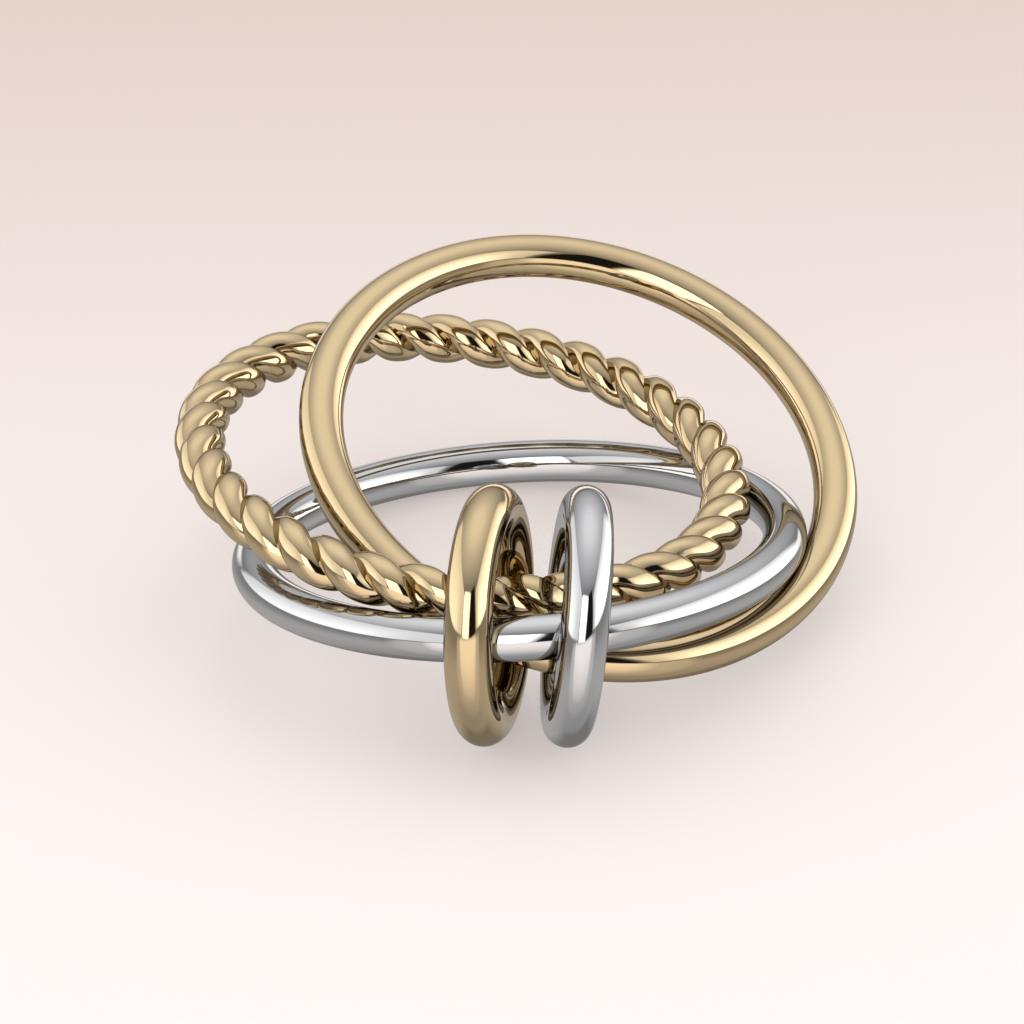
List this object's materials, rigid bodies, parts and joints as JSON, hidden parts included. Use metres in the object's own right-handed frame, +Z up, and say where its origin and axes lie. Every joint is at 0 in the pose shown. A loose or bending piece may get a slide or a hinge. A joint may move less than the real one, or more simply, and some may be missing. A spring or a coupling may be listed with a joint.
{
  "type": "linked triple ring with a twisted rope band",
  "caption": "Finger ring of loose round bands, one a twisted rope and the others plain, lying in one another and gathered at the front by small round links.",
  "frame": {"origin": "on the floor that the ring rests on, under the middle of its outer box", "axes": "+Z up from the floor as it rests, the two links at the front towards -Y, the bands run back towards +Y"},
  "size_m": [0.0244, 0.0244, 0.0097],
  "materials": {
    "yellow_metal": "high polish, pale yellow gold",
    "white_metal": "high polish, white metal"
  },
  "bodies": {
    "root": {"rope_band": "yellow_metal", "gold_band": "yellow_metal", "white_band": "white_metal", "gold_link": "yellow_metal", "white_link": "white_metal"}
  },
  "joints": []
}
